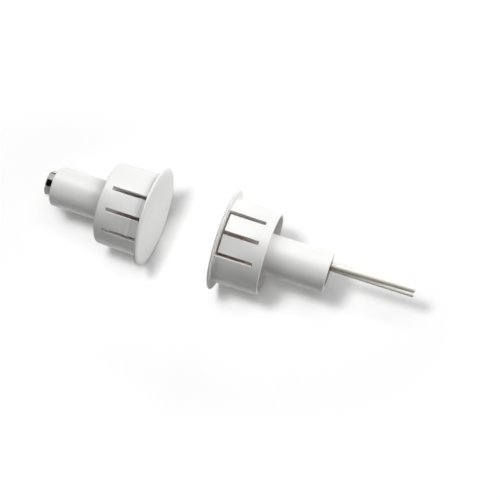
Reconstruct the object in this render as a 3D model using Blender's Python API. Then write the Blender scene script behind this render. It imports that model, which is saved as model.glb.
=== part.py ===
"""Recessed door contact for a steel door: a switch half and a magnet half, face to face on one axis.

Each half is a flanged adapter that snaps into a one inch hole, with a thin capsule standing behind it.
The switch capsule holds a reed switch in resin and lets out two wire leads. The magnet capsule holds a
bright rod magnet that stands a little out of its open end.

The axis is X. The origin is the centre of the switch half's flat sensing face. The switch half lies
along +X, and the magnet half along -X with its own sensing face turned to it. Metres, +Z up.
Each half is modelled in its own frame: sensing face at x = 0, everything else behind it along +x.
"""

import math

import bmesh
import bpy
from mathutils import Matrix, Vector

MM = 0.001
FULL_TURN = 2 * math.pi

# Clearance between two pieces that touch in the real contact
CLEARANCE = 0.3 * MM

# How the two halves lie: the gap between their sensing faces at rest
FACE_GAP = 21.0 * MM

# Adapter, one moulding used on both halves
BODY_DIA = 25.4 * MM
BODY_DRAFT = 0.25 * MM
BODY_DEPTH = 14.6 * MM
WALL = 1.2 * MM
FLANGE_LIP = 2.4 * MM
FLANGE_THICK = 0.9 * MM
FLANGE_ROUNDING = 0.7 * MM
FLANGE_ROLL_OFF = 2.0 * MM
RIM_ROUNDING = 0.4 * MM
COLLAR_WALL = 1.0 * MM
COLLAR_DEPTH = 6.0 * MM

# Snap tabs: each group is three lengthwise slots joined by a groove behind the flange, so that the two
# tongues between them stay held at the rear only. A tongue is flatted towards its free end. The groove
# leaves a low foot of the wall standing on the flange, so that the flange's seat stays a whole ring.
TAB_GROUPS = 2
SLOT_PITCH = math.radians(30)
SLOT_WIDTH = 1.2 * MM
GROOVE_WIDTH = 0.6 * MM
GROOVE_FOOT = 0.1 * MM
REAR_BAND = 2.7 * MM
FLAT_REACH = 3.2 * MM

# Barbs that lock behind the steel. The first group of tabs is smooth, the others carry one on each
# tongue, near the flange for thin steel and further back for thick steel.
SMOOTH_GROUP = 0
BARB_HEIGHT = 0.35 * MM
BARB_TAIL = 0.15 * MM
BARB_LENGTH = 1.35 * MM
BARB_FACE = 0.2 * MM
NEAR_BARB = 1.35 * MM
FAR_BARB = 2.95 * MM

# How far each adapter is rolled about the axis, from +Z towards -Y
SWITCH_ROLL = math.radians(11)
MAGNET_ROLL = math.radians(30)

# Capsules, the same tube cut a little shorter on the magnet half. Its bore fits the magnet.
MAGNET_DIA = 8.2 * MM
MAGNET_LENGTH = 32.0 * MM
MAGNET_CHAMFER = 0.35 * MM
CAPSULE_WALL = 1.65 * MM
CAPSULE_FLOOR = 0.8 * MM
CAPSULE_REACH = 32.3 * MM
MAGNET_CAPSULE_REACH = 31.6 * MM
CAPSULE_CHAMFER = 0.25 * MM

# Reed switch
GLASS_DIA = 2.7 * MM
GLASS_LENGTH = 13.5 * MM
GLASS_WALL = 0.35 * MM
SEAL_LENGTH = 1.6 * MM
REED_LEAD_DIA = 0.7 * MM
REED_LEAD_LENGTH = 3.8 * MM
BLADE_WIDTH = 1.2 * MM
BLADE_THICK = 0.25 * MM
BLADE_OVERLAP = 1.5 * MM
CONTACT_GAP = 0.3 * MM

# Resin round the reed switch. It swells out of the capsule's mouth in a low bead.
RESIN_COVER = 1.1 * MM
BEAD_HEIGHT = 0.25 * MM
BEAD_SLOPE = 0.8 * MM

# Wiring inside the capsule
CONDUCTOR_DIA = 0.6 * MM
SPLICE_LENGTH = 2.4 * MM
SPLICE_WALL = 0.25 * MM
SLEEVE_WALL = 0.25 * MM
SLEEVE_STANDOFF = 0.4 * MM
FAN_LENGTH = 1.6 * MM

# Two wire leads, side by side, cut off square. The line between them leaves the resin at LEAD_SIDE and
# LEAD_RISE, and by its end has drifted aside and sagged. The pair turns about that line on its way out.
LEAD_DIA = 1.5 * MM
LEAD_REACH = 24.6 * MM
LEAD_SIDE = 1.85 * MM
LEAD_RISE = 0.6 * MM
LEAD_DRIFT = 0.75 * MM
LEAD_SAG = 1.1 * MM
LEAD_STATIONS = (0.0, 0.15, 0.32, 0.53, 0.76, 1.0)
PAIR_ANGLE_INSIDE = math.radians(75)
PAIR_ANGLE_END = math.radians(35)

# Fineness of turned and swept forms
ADAPTER_STEPS = 72
CAPSULE_STEPS = 48
REED_STEPS = 24
WIRE_SIDES = 8
ROUTE_SPAN_STEPS = 4
SHARP_ANGLE = math.radians(30)
GUIDE_SIZE = 5 * MM

# Sizes that follow from those above
BODY_R = BODY_DIA / 2
BODY_BORE_R = BODY_R - WALL
FLANGE_R = BODY_R + FLANGE_LIP
SLOT_START = FLANGE_THICK + GROOVE_FOOT
TAB_END = SLOT_START + GROOVE_WIDTH
TAB_ROOT = BODY_DEPTH - REAR_BAND
CAPSULE_BORE_R = MAGNET_DIA / 2 + CLEARANCE
CAPSULE_R = CAPSULE_BORE_R + CAPSULE_WALL
COLLAR_BORE_R = CAPSULE_R + CLEARANCE
COLLAR_R = COLLAR_BORE_R + COLLAR_WALL
COLLAR_END = FLANGE_THICK + COLLAR_DEPTH
CAPSULE_FRONT = FLANGE_THICK + CLEARANCE
CAPSULE_FLOOR_X = CAPSULE_FRONT + CAPSULE_FLOOR
MAGNET_FRONT = CAPSULE_FLOOR_X + CLEARANCE

RESIN_FRONT = CAPSULE_FLOOR_X + CLEARANCE
RESIN_REAR = CAPSULE_REACH + BEAD_HEIGHT
RESIN_R = CAPSULE_BORE_R - CLEARANCE
FRONT_LEAD_TIP = RESIN_FRONT + RESIN_COVER
GLASS_FRONT = FRONT_LEAD_TIP + REED_LEAD_LENGTH
GLASS_REAR = GLASS_FRONT + GLASS_LENGTH
REAR_LEAD_TIP = GLASS_REAR + REED_LEAD_LENGTH
LEADS_INSIDE_X = REAR_LEAD_TIP + FAN_LENGTH
GLASS_R = GLASS_DIA / 2
REED_LEAD_R = REED_LEAD_DIA / 2
CONDUCTOR_R = CONDUCTOR_DIA / 2
SLEEVE_BORE_R = CONDUCTOR_R + CLEARANCE
SLEEVE_R = SLEEVE_BORE_R + SLEEVE_WALL
SLEEVE_Z = GLASS_R + SLEEVE_STANDOFF + SLEEVE_R
LEAD_R = LEAD_DIA / 2
LEAD_SPACING = LEAD_DIA + CLEARANCE

# A splice holds a reed lead on the axis and a conductor beside it, one clearance apart
SPLICE_OFFSET = REED_LEAD_R + CLEARANCE + CONDUCTOR_R
PIVOT_INSET = SEAL_LENGTH / 2


def clear_scene():
    for item in list(bpy.data.objects):
        bpy.data.objects.remove(item, do_unlink=True)


def material(name, color, roughness, metallic=0.0, alpha=1.0):
    """A plain Principled material."""
    made = bpy.data.materials.new(name)
    made.use_nodes = True
    shader = made.node_tree.nodes["Principled BSDF"]
    shader.inputs["Base Color"].default_value = (*color, 1.0)
    shader.inputs["Roughness"].default_value = roughness
    shader.inputs["Metallic"].default_value = metallic
    shader.inputs["Alpha"].default_value = alpha
    made.diffuse_color = (*color, alpha)
    return made


def empty(name, location=(0, 0, 0), turned_round=False, parent=None):
    """A frame for a half or a blade. turned_round faces it along -X."""
    made = bpy.data.objects.new(name, None)
    made.empty_display_size = GUIDE_SIZE
    made.location = location
    if turned_round:
        made.rotation_euler.z = math.pi
    made.parent = parent
    bpy.context.scene.collection.objects.link(made)
    return made


def add_object(name, data, parent=None, finish=None):
    made = bpy.data.objects.new(name, data)
    made.parent = parent
    if finish:
        data.materials.append(finish)
    bpy.context.scene.collection.objects.link(made)
    return made


def mesh_from(bm, name):
    """Closes off a bmesh: one skin, faces out, round parts shaded smooth."""
    bmesh.ops.remove_doubles(bm, verts=bm.verts, dist=0.0001 * MM)
    bmesh.ops.recalc_face_normals(bm, faces=bm.faces)
    mesh = bpy.data.meshes.new(name)
    bm.to_mesh(mesh)
    bm.free()
    mesh.shade_smooth()
    mesh.set_sharp_from_angle(angle=SHARP_ANGLE)
    return mesh


def arc(centre_x, centre_r, radius, start_deg, end_deg, steps):
    """Points (x, r) on an arc of a turned profile, both ends included."""
    points = []
    for step in range(steps + 1):
        angle = math.radians(start_deg + (end_deg - start_deg) * step / steps)
        points.append((centre_x + radius * math.cos(angle), centre_r + radius * math.sin(angle)))
    return points


def turned_bmesh(profile, steps):
    """A solid turned about X from (x, r) points. The profile starts and ends on the axis, or is a loop."""
    bm = bmesh.new()
    verts = [bm.verts.new((x, 0, r)) for x, r in profile]
    edges = [bm.edges.new(pair) for pair in zip(verts, verts[1:])]
    if profile[0][1] > 0:
        edges.append(bm.edges.new((verts[-1], verts[0])))
    bmesh.ops.spin(
        bm,
        geom=verts + edges,
        axis=(1, 0, 0),
        cent=(0, 0, 0),
        angle=FULL_TURN,
        steps=steps,
        use_merge=True,
    )
    return bm


def turned(name, profile, steps):
    return mesh_from(turned_bmesh(profile, steps), name)


def tube_profile(start_x, end_x, bore_r, outer_r):
    return [(start_x, bore_r), (start_x, outer_r), (end_x, outer_r), (end_x, bore_r)]


def rod_profile(start_x, end_x, radius):
    return [(start_x, 0), (start_x, radius), (end_x, radius), (end_x, 0)]


def cut(target, cutter):
    """Takes the cutter out of the target, and keeps it as a hidden guide."""
    cutter.hide_render = True
    cutter.display_type = "WIRE"
    boolean = target.modifiers.new(cutter.name, "BOOLEAN")
    boolean.operation = "DIFFERENCE"
    boolean.solver = "EXACT"
    boolean.object = cutter


def smooth_route(points, span_steps=ROUTE_SPAN_STEPS):
    """Points on a smooth curve through the given ones, which may be unevenly spaced."""
    lengths = [(end - start).length for start, end in zip(points, points[1:])]
    slopes = [(end - start) / length for start, end, length in zip(points, points[1:], lengths)]
    tangents = [slopes[0]]
    for before, after, slope_in, slope_out in zip(lengths, lengths[1:], slopes, slopes[1:]):
        tangents.append((slope_in * after + slope_out * before) / (before + after))
    tangents.append(slopes[-1])
    route = []
    for span, length in enumerate(lengths):
        start, end = points[span], points[span + 1]
        for step in range(span_steps):
            t = step / span_steps
            route.append(
                start * (2 * t**3 - 3 * t**2 + 1)
                + tangents[span] * length * (t**3 - 2 * t**2 + t)
                + end * (3 * t**2 - 2 * t**3)
                + tangents[span + 1] * length * (t**3 - t**2)
            )
    return [*route, points[-1]]


def wire_curve(name, points, radius):
    """A round wire: one polyline with a bevel and filled caps."""
    curve = bpy.data.curves.new(name, "CURVE")
    curve.dimensions = "3D"
    curve.bevel_depth = radius
    curve.bevel_resolution = WIRE_SIDES // 2 - 2
    curve.use_fill_caps = True
    spline = curve.splines.new("POLY")
    spline.points.add(len(points) - 1)
    for point, place in zip(spline.points, points):
        point.co = (*place, 1)
    return curve


def wire_cutter(name, points, radius, parent):
    """The same wire as a mesh, thick enough to leave its clearance in what it is cast into."""
    guide = bpy.data.objects.new(name, wire_curve(name, points, radius))
    bpy.context.scene.collection.objects.link(guide)
    graph = bpy.context.evaluated_depsgraph_get()
    mesh = bpy.data.meshes.new_from_object(guide.evaluated_get(graph))
    bpy.data.objects.remove(guide)
    bm = bmesh.new()
    bm.from_mesh(mesh)
    return add_object(name, mesh_from(bm, name), parent)


# Adapter


def body_radius(x):
    """Outer radius of the tapered body."""
    return BODY_R - BODY_DRAFT * (x - FLANGE_THICK) / (BODY_DEPTH - FLANGE_THICK)


def barb_outline(lock):
    """A barb along the body as (x, height): steep locking face, long ramp, low step at its tail."""
    return [
        (lock, 0.0),
        (lock + BARB_FACE, BARB_HEIGHT),
        (lock + BARB_LENGTH - BARB_FACE, BARB_TAIL),
        (lock + BARB_LENGTH, 0.0),
    ]


def barb_lift(x, lock):
    """Height of the barb whose locking face starts at lock."""
    outline = barb_outline(lock)
    for (start, low), (end, high) in zip(outline, outline[1:]):
        if start < x <= end:
            return low + (high - low) * (x - start) / (end - start)
    return 0.0


def group_angle(group):
    return group * FULL_TURN / TAB_GROUPS


def angle_round_x(point):
    """Angle about the axis, from +Z towards -Y."""
    return math.atan2(-point.y, point.z)


def tongue_radius(x, angle):
    """Radius of the adapter's outside at a place among the tongues: a chord near the free end, the
    plain round at the root, and a barb where the tongue has one."""
    plain = body_radius(x)
    for group in range(TAB_GROUPS):
        offset = math.remainder(angle - group_angle(group), FULL_TURN)
        if abs(offset) >= SLOT_PITCH - 1e-6 or abs(offset) < 1e-6:
            continue
        middle = math.copysign(SLOT_PITCH / 2, offset)
        chord = plain * math.cos(SLOT_PITCH / 2) / math.cos(offset - middle)
        flat_start = FLANGE_THICK + FLAT_REACH
        flatness = min(1.0, (TAB_ROOT - x) / (TAB_ROOT - flat_start))
        lift = 0.0
        if group != SMOOTH_GROUP:
            lift = barb_lift(x, FLANGE_THICK + (NEAR_BARB if offset > 0 else FAR_BARB))
        return plain + (chord - plain) * flatness + lift
    return plain


def tongue_stations():
    """Where along the body its outside needs a ring of points."""
    places = {TAB_END, FLANGE_THICK + FLAT_REACH, TAB_ROOT}
    for lock in (FLANGE_THICK + NEAR_BARB, FLANGE_THICK + FAR_BARB):
        places |= {x for x, _ in barb_outline(lock)}
    return sorted(place for place in places if FLANGE_THICK < place <= TAB_ROOT)


def flange_edge():
    """Front edge of the flange: the face rolls off over FLANGE_ROLL_OFF, and drops FLANGE_ROUNDING."""
    steepness = FLANGE_ROLL_OFF / FLANGE_ROUNDING
    centre_r = FLANGE_R - FLANGE_ROLL_OFF
    return [(x, centre_r + r * steepness) for x, r in arc(FLANGE_ROUNDING, 0, FLANGE_ROUNDING, 180, 90, 5)]


def adapter_profile():
    """Half section of the adapter: flange and face, tapered body, open back, inner collar."""
    rim_r = body_radius(BODY_DEPTH)
    return [
        (0, 0),
        *flange_edge(),
        (FLANGE_THICK, FLANGE_R),
        (FLANGE_THICK, BODY_R),
        *((x, body_radius(x)) for x in tongue_stations()),
        *arc(BODY_DEPTH - RIM_ROUNDING, rim_r - RIM_ROUNDING, RIM_ROUNDING, 90, 0, 2),
        (BODY_DEPTH, BODY_BORE_R),
        (FLANGE_THICK, BODY_BORE_R),
        (FLANGE_THICK, COLLAR_R),
        (COLLAR_END, COLLAR_R),
        (COLLAR_END, COLLAR_BORE_R),
        (FLANGE_THICK, COLLAR_BORE_R),
        (FLANGE_THICK, 0),
    ]


def shape_tongues(bm):
    """Moves the outside of the turned body in and out to the form of its tongues."""
    middle_of_wall = BODY_R - WALL / 2
    for vert in bm.verts:
        x = vert.co.x
        radius = math.hypot(vert.co.y, vert.co.z)
        if radius < middle_of_wall or x < FLANGE_THICK + 1e-9 or x > TAB_ROOT + 1e-9:
            continue
        scale = tongue_radius(x, angle_round_x(vert.co)) / radius
        vert.co.y *= scale
        vert.co.z *= scale


def adapter_mesh():
    bm = turned_bmesh(adapter_profile(), ADAPTER_STEPS)
    bmesh.ops.remove_doubles(bm, verts=bm.verts, dist=0.0001 * MM)
    shape_tongues(bm)
    return mesh_from(bm, "adapter")


def comb_cells():
    """The cut of one tab group unrolled: cells (angle, angle, x, x) of a groove and its three slots."""
    half_slot = SLOT_WIDTH / BODY_R / 2
    slots = [-SLOT_PITCH, 0.0, SLOT_PITCH]
    edges = []
    for slot in slots:
        edges += [slot - half_slot, slot + half_slot]
    stations = [edges[0]]
    for start, end in zip(edges, edges[1:]):
        pieces = max(1, round((end - start) / (FULL_TURN / ADAPTER_STEPS)))
        stations += [start + (end - start) * piece / pieces for piece in range(1, pieces + 1)]
    cells = [(start, end, SLOT_START, TAB_END) for start, end in zip(stations, stations[1:])]
    cells += [(slot - half_slot, slot + half_slot, TAB_END, TAB_ROOT) for slot in slots]
    return cells


def comb_cutter(name, centre, parent):
    """A block shaped like a three toothed comb, bent round the body and thicker than its wall."""
    inner_r = BODY_BORE_R - WALL / 2
    outer_r = BODY_R + BARB_HEIGHT + WALL / 2
    bm = bmesh.new()
    corners = {}

    def corner(angle, x):
        key = (round(angle, 6), round(x, 8))
        if key not in corners:
            turn = centre + angle
            place = (x, -inner_r * math.sin(turn), inner_r * math.cos(turn))
            corners[key] = bm.verts.new(place)
        return corners[key]

    for start, end, low_x, high_x in comb_cells():
        bm.faces.new([corner(start, low_x), corner(end, low_x), corner(end, high_x), corner(start, high_x)])
    grown = bmesh.ops.extrude_face_region(bm, geom=bm.faces[:])
    for vert in grown["geom"]:
        if isinstance(vert, bmesh.types.BMVert):
            vert.co.y *= outer_r / inner_r
            vert.co.z *= outer_r / inner_r
    return add_object(name, mesh_from(bm, name), parent)


def make_adapter(name, mesh, roll, parent, finish):
    """One adapter, rolled about the axis, with its tab groups cut through."""
    adapter = add_object(name, mesh, parent)
    if not mesh.materials:
        mesh.materials.append(finish)
    adapter.rotation_euler.x = roll
    for group in range(TAB_GROUPS):
        cut(adapter, comb_cutter(f"{name}_comb_{group}", group_angle(group), adapter))
    return adapter


# Capsule and magnet


def capsule_mesh(reach):
    """Thin tube closed at its front and open at reach, with a small chamfer round both ends."""
    profile = [
        (CAPSULE_FRONT, 0),
        (CAPSULE_FRONT, CAPSULE_R - CAPSULE_CHAMFER),
        (CAPSULE_FRONT + CAPSULE_CHAMFER, CAPSULE_R),
        (reach - CAPSULE_CHAMFER, CAPSULE_R),
        (reach, CAPSULE_R - CAPSULE_CHAMFER),
        (reach, CAPSULE_BORE_R),
        (CAPSULE_FLOOR_X, CAPSULE_BORE_R),
        (CAPSULE_FLOOR_X, 0),
    ]
    return turned("capsule", profile, CAPSULE_STEPS)


def magnet_mesh():
    """Rod with both edges broken."""
    rear = MAGNET_FRONT + MAGNET_LENGTH
    radius = MAGNET_DIA / 2
    profile = [
        (MAGNET_FRONT, 0),
        (MAGNET_FRONT, radius - MAGNET_CHAMFER),
        (MAGNET_FRONT + MAGNET_CHAMFER, radius),
        *arc(rear - MAGNET_CHAMFER, radius - MAGNET_CHAMFER, MAGNET_CHAMFER, 90, 0, 3),
        (rear, 0),
    ]
    return turned("rod_magnet", profile, CAPSULE_STEPS)


# Reed switch


def glass_profile(grow=0.0):
    """Outside of the glass, round shouldered at each seal. grow leaves a clearance round it."""
    shoulder = GLASS_WALL + grow
    radius = GLASS_R + grow
    front = GLASS_FRONT - grow
    rear = GLASS_REAR + grow
    return [
        *arc(front + shoulder, radius - shoulder, shoulder, 180, 90, 3),
        *arc(rear - shoulder, radius - shoulder, shoulder, 90, 0, 3),
    ]


def glass_mesh():
    """Glass tube drawn in to a seal at each end, with a hole there for the reed's lead."""
    hole_r = REED_LEAD_R + CLEARANCE
    bore_r = GLASS_R - GLASS_WALL
    profile = [
        (GLASS_FRONT, hole_r),
        *glass_profile(),
        (GLASS_REAR, hole_r),
        (GLASS_REAR - SEAL_LENGTH, hole_r),
        (GLASS_REAR - SEAL_LENGTH, bore_r),
        (GLASS_FRONT + SEAL_LENGTH, bore_r),
        (GLASS_FRONT + SEAL_LENGTH, hole_r),
    ]
    return turned("reed_glass", profile, REED_STEPS)


def blade_section(x, y, half_thick, half_width, squareness):
    """Twelve points round a section: round at squareness 1, near a rectangle towards 0."""
    points = []
    for step in range(12):
        angle = FULL_TURN * (step + 0.5) / 12
        across = math.copysign(abs(math.cos(angle)) ** squareness, math.cos(angle))
        along = math.copysign(abs(math.sin(angle)) ** squareness, math.sin(angle))
        points.append((x, y + half_thick * across, half_width * along))
    return points


def blade_mesh():
    """A reed: a round lead that is rolled flat inside the glass. x = 0 is the middle of its seal."""
    lead_tip = -PIVOT_INSET - REED_LEAD_LENGTH
    flat_start = PIVOT_INSET + CLEARANCE
    flat_full = flat_start + BLADE_WIDTH
    blade_tip = (GLASS_LENGTH + BLADE_OVERLAP) / 2 - PIVOT_INSET
    blade_y = (CONTACT_GAP + BLADE_THICK) / 2
    half_thick = BLADE_THICK / 2
    half_width = BLADE_WIDTH / 2
    sections = [
        blade_section(lead_tip, 0, REED_LEAD_R, REED_LEAD_R, 1),
        blade_section(flat_start, 0, REED_LEAD_R, REED_LEAD_R, 1),
        blade_section(flat_full, blade_y, half_thick, half_width, 0.5),
        blade_section(blade_tip - half_thick, blade_y, half_thick, half_width, 0.5),
        blade_section(blade_tip, blade_y, half_thick * 0.6, half_width * 0.8, 0.5),
    ]
    bm = bmesh.new()
    rings = [[bm.verts.new(point) for point in section] for section in sections]
    for ring, following in zip(rings, rings[1:]):
        for side in range(12):
            other = (side + 1) % 12
            bm.faces.new((ring[side], ring[other], following[other], following[side]))
    bm.faces.new(rings[0])
    bm.faces.new(rings[-1])
    return mesh_from(bm, "reed_blade")


# Splices and wiring


def splice_ring(bm, x, wall_out, offset_dir):
    """Oval ring of points that passes wall_out outside a lead on the axis and a conductor beside it."""
    side_dir = Vector((0, -offset_dir.z, offset_dir.y))
    verts = []
    ends = ((0.0, REED_LEAD_R, math.pi), (SPLICE_OFFSET, CONDUCTOR_R, 0.0))
    for along, radius, facing in ends:
        for step in range(7):
            angle = facing + math.radians(-90 + 30 * step)
            reach = radius + wall_out
            place = offset_dir * (along + reach * math.cos(angle)) + side_dir * reach * math.sin(angle)
            verts.append(bm.verts.new((x, place.y, place.z)))
    return verts


def splice_mesh(name, start_x, offset_dir, wall_in, wall_out):
    """A crimp ferrule: an oval tube. With wall_in None it is solid, as a cutter for the resin."""
    bm = bmesh.new()
    end_x = start_x + SPLICE_LENGTH
    if wall_in is None:
        start_x -= CLEARANCE
        end_x += CLEARANCE
    outer = [splice_ring(bm, x, wall_out, offset_dir) for x in (start_x, end_x)]
    count = len(outer[0])
    pairs = [outer]
    if wall_in is None:
        bm.faces.new(outer[0])
        bm.faces.new(outer[1])
    else:
        inner = [splice_ring(bm, x, wall_in, offset_dir) for x in (start_x, end_x)]
        pairs += [inner, (outer[0], inner[0]), (outer[1], inner[1])]
    for first, second in pairs:
        for side in range(count):
            other = (side + 1) % count
            bm.faces.new((first[side], first[other], second[other], second[side]))
    return mesh_from(bm, name)


def pair_point(distance, side):
    """Place of one lead of the pair: distance behind the resin's face, side +1 upper or -1 lower."""
    share = min(1.0, max(0.0, distance / LEAD_REACH))
    middle_y = LEAD_SIDE + LEAD_DRIFT * share**1.5
    middle_z = LEAD_RISE - LEAD_SAG * share**2
    angle = PAIR_ANGLE_INSIDE + (PAIR_ANGLE_END - PAIR_ANGLE_INSIDE) * share
    offset = Vector((0, math.cos(angle), math.sin(angle))) * side * LEAD_SPACING / 2
    return Vector((RESIN_REAR + distance, middle_y, middle_z)) + offset


def lead_points(side):
    """A lead's own route, from its buried end out to its cut end."""
    buried = RESIN_REAR - LEADS_INSIDE_X
    distances = [-buried, -buried / 2, *(LEAD_REACH * share for share in LEAD_STATIONS)]
    return smooth_route([pair_point(distance, side) for distance in distances], 2)


def conductor_start(side):
    """Where a stripped conductor leaves its lead's insulation, one clearance short of it."""
    start = pair_point(LEADS_INSIDE_X - RESIN_REAR, side)
    start.x -= CLEARANCE
    return start


def long_conductor_points():
    """From the upper lead over the glass, straight through the sleeve, to the front splice."""
    start = conductor_start(1)
    sleeve_front, sleeve_rear = sleeve_span()
    straight_front = sleeve_front - SLEEVE_R
    straight_rear = sleeve_rear + SLEEVE_R
    splice_rear = FRONT_LEAD_TIP + CLEARANCE + SPLICE_LENGTH
    drop = SLEEVE_Z - SPLICE_OFFSET
    bend = (straight_front - splice_rear) / 4
    return smooth_route(
        [
            start,
            Vector((start.x - FAN_LENGTH * 0.7, start.y * 0.85, (start.z + SLEEVE_Z) / 2)),
            Vector((REAR_LEAD_TIP - FAN_LENGTH, start.y * 0.4, SLEEVE_Z)),
            Vector((straight_rear, 0, SLEEVE_Z)),
            Vector((sleeve_rear, 0, SLEEVE_Z)),
            Vector((sleeve_front, 0, SLEEVE_Z)),
            Vector((straight_front, 0, SLEEVE_Z)),
            Vector((straight_front - bend, 0, SLEEVE_Z - drop * 0.15)),
            Vector((splice_rear + bend, 0, SPLICE_OFFSET + drop * 0.25)),
            Vector((splice_rear, 0, SPLICE_OFFSET)),
            Vector((FRONT_LEAD_TIP, 0, SPLICE_OFFSET)),
        ],
        3,
    )


def short_conductor_points():
    """From the lower lead to the rear splice."""
    start = conductor_start(-1)
    splice_rear = REAR_LEAD_TIP - CLEARANCE
    middle = (start.x + splice_rear) / 2
    return smooth_route(
        [
            start,
            Vector((middle, (start.y + SPLICE_OFFSET) / 2, start.z / 2)),
            Vector((splice_rear, SPLICE_OFFSET, 0)),
            Vector((splice_rear - SPLICE_LENGTH - CLEARANCE, SPLICE_OFFSET, 0)),
        ],
        3,
    )


# Resin


def resin_cutters(parent):
    """Everything that the resin is cast round, each one clearance larger than it is."""
    gap = CLEARANCE
    glass_front, glass_rear = GLASS_FRONT - gap, GLASS_REAR + gap
    glass = [(glass_front, 0), *glass_profile(gap), (glass_rear, 0)]
    front_lead = rod_profile(FRONT_LEAD_TIP - gap, GLASS_FRONT, REED_LEAD_R + gap)
    rear_lead = rod_profile(GLASS_REAR, REAR_LEAD_TIP + gap, REED_LEAD_R + gap)
    wall = gap + SPLICE_WALL + gap
    cutters = [
        add_object("glass_void", turned("glass_void", glass, REED_STEPS), parent),
        add_object("front_lead_void", turned("front_lead_void", front_lead, WIRE_SIDES), parent),
        add_object("rear_lead_void", turned("rear_lead_void", rear_lead, WIRE_SIDES), parent),
    ]
    for name, start_x, offset_dir in splice_places():
        mesh = splice_mesh(f"{name}_void", start_x, offset_dir, None, wall)
        cutters.append(add_object(f"{name}_void", mesh, parent))
    sleeve_start, sleeve_end = sleeve_span()
    sleeve = turned("sleeve_void", rod_profile(sleeve_start - gap, sleeve_end + gap, SLEEVE_R + gap), 12)
    sleeve.transform(Matrix.Translation((0, 0, SLEEVE_Z)))
    cutters.append(add_object("sleeve_void", sleeve, parent))
    for name, points in (("long_void", long_conductor_points()), ("short_void", short_conductor_points())):
        into_lead_void = points[0] + Vector((2 * gap, 0, 0))
        cutters.append(wire_cutter(name, [into_lead_void, *points], CONDUCTOR_R + gap, parent))
    for name, side in (("upper_void", 1), ("lower_void", -1)):
        cutters.append(wire_cutter(name, lead_points(side), LEAD_R + gap, parent))
    return cutters


def splice_places():
    """Name, front end and conductor side of each splice."""
    return [
        ("front_splice", FRONT_LEAD_TIP + CLEARANCE, Vector((0, 0, 1))),
        ("rear_splice", REAR_LEAD_TIP - CLEARANCE - SPLICE_LENGTH, Vector((0, 1, 0))),
    ]


def sleeve_span():
    """Front and rear end of the sleeve, short of the glass's ends where the conductor bends."""
    return GLASS_FRONT + 2 * SLEEVE_R, GLASS_REAR - 2 * SLEEVE_R


def make_potting(parent, finish):
    """Resin core that fills the capsule behind its floor, cast round the reed switch and its wires."""
    profile = [
        (RESIN_FRONT, 0),
        (RESIN_FRONT, RESIN_R),
        (CAPSULE_REACH, RESIN_R),
        (RESIN_REAR, RESIN_R - BEAD_SLOPE),
        (RESIN_REAR, 0),
    ]
    potting = add_object("potting", turned("potting", profile, CAPSULE_STEPS), parent, finish)
    for cutter in resin_cutters(potting):
        cut(potting, cutter)
    return potting


# The two halves


def make_reed_switch(half, finishes):
    add_object("reed_glass", glass_mesh(), half, finishes["glass"])
    blade = blade_mesh()
    blade.materials.append(finishes["nickel_iron"])
    front_pivot = empty("front_blade_pivot", (GLASS_FRONT + PIVOT_INSET, 0, 0), parent=half)
    rear_pivot = empty("rear_blade_pivot", (GLASS_REAR - PIVOT_INSET, 0, 0), True, half)
    add_object("front_reed_blade", blade, front_pivot)
    add_object("rear_reed_blade", blade, rear_pivot)


def make_wiring(half, finishes):
    for name, start_x, offset_dir in splice_places():
        mesh = splice_mesh(name, start_x, offset_dir, CLEARANCE, CLEARANCE + SPLICE_WALL)
        add_object(name, mesh, half, finishes["tin"])
    sleeve_start, sleeve_end = sleeve_span()
    sleeve = turned("return_sleeve", tube_profile(sleeve_start, sleeve_end, SLEEVE_BORE_R, SLEEVE_R), 12)
    sleeve.transform(Matrix.Translation((0, 0, SLEEVE_Z)))
    add_object("return_sleeve", sleeve, half, finishes["sleeve"])
    wires = [
        ("long_conductor", long_conductor_points(), CONDUCTOR_R, "copper"),
        ("short_conductor", short_conductor_points(), CONDUCTOR_R, "copper"),
        ("upper_lead", lead_points(1), LEAD_R, "lead"),
        ("lower_lead", lead_points(-1), LEAD_R, "lead"),
    ]
    for name, points, radius, finish in wires:
        add_object(name, wire_curve(name, points, radius), half, finishes[finish])


def make_switch_half(adapter, finishes):
    half = empty("switch_half")
    make_adapter("switch_adapter", adapter, SWITCH_ROLL, half, finishes["abs"])
    add_object("switch_capsule", capsule_mesh(CAPSULE_REACH), half, finishes["abs"])
    make_reed_switch(half, finishes)
    make_wiring(half, finishes)
    make_potting(half, finishes["resin"])


def make_magnet_half(adapter, finishes):
    """The magnet half faces the other way, and shows a group of barbed tabs where the other is smooth."""
    half = empty("magnet_half", (-FACE_GAP, 0, 0), True)
    roll = group_angle(1) * -1 - MAGNET_ROLL
    make_adapter("magnet_adapter", adapter, roll, half, finishes["abs"])
    add_object("magnet_capsule", capsule_mesh(MAGNET_CAPSULE_REACH), half, finishes["abs"])
    add_object("rod_magnet", magnet_mesh(), half, finishes["magnet"])


def main():
    clear_scene()
    finishes = {
        "abs": material("moulded_abs", (0.86, 0.86, 0.84), 0.38),
        "glass": material("soda_glass", (0.75, 0.85, 0.8), 0.05, alpha=0.35),
        "nickel_iron": material("nickel_iron", (0.62, 0.6, 0.55), 0.3, 1.0),
        "tin": material("tinned_brass", (0.75, 0.75, 0.72), 0.35, 1.0),
        "copper": material("tinned_copper", (0.78, 0.6, 0.5), 0.35, 1.0),
        "sleeve": material("sleeve_pvc", (0.1, 0.1, 0.11), 0.5),
        "lead": material("lead_pvc", (0.83, 0.81, 0.72), 0.45),
        "resin": material("potting_resin", (0.16, 0.11, 0.08), 0.4),
        "magnet": material("nickel_plate", (0.7, 0.7, 0.7), 0.12, 1.0),
    }
    adapter = adapter_mesh()
    make_switch_half(adapter, finishes)
    make_magnet_half(adapter, finishes)


main()
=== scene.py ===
"""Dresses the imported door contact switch: its moulded halves, reed switch, wiring and leads, and the
stage that shows them as the photograph does. Laid out as an add-on and run as a script."""

import math

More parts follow.
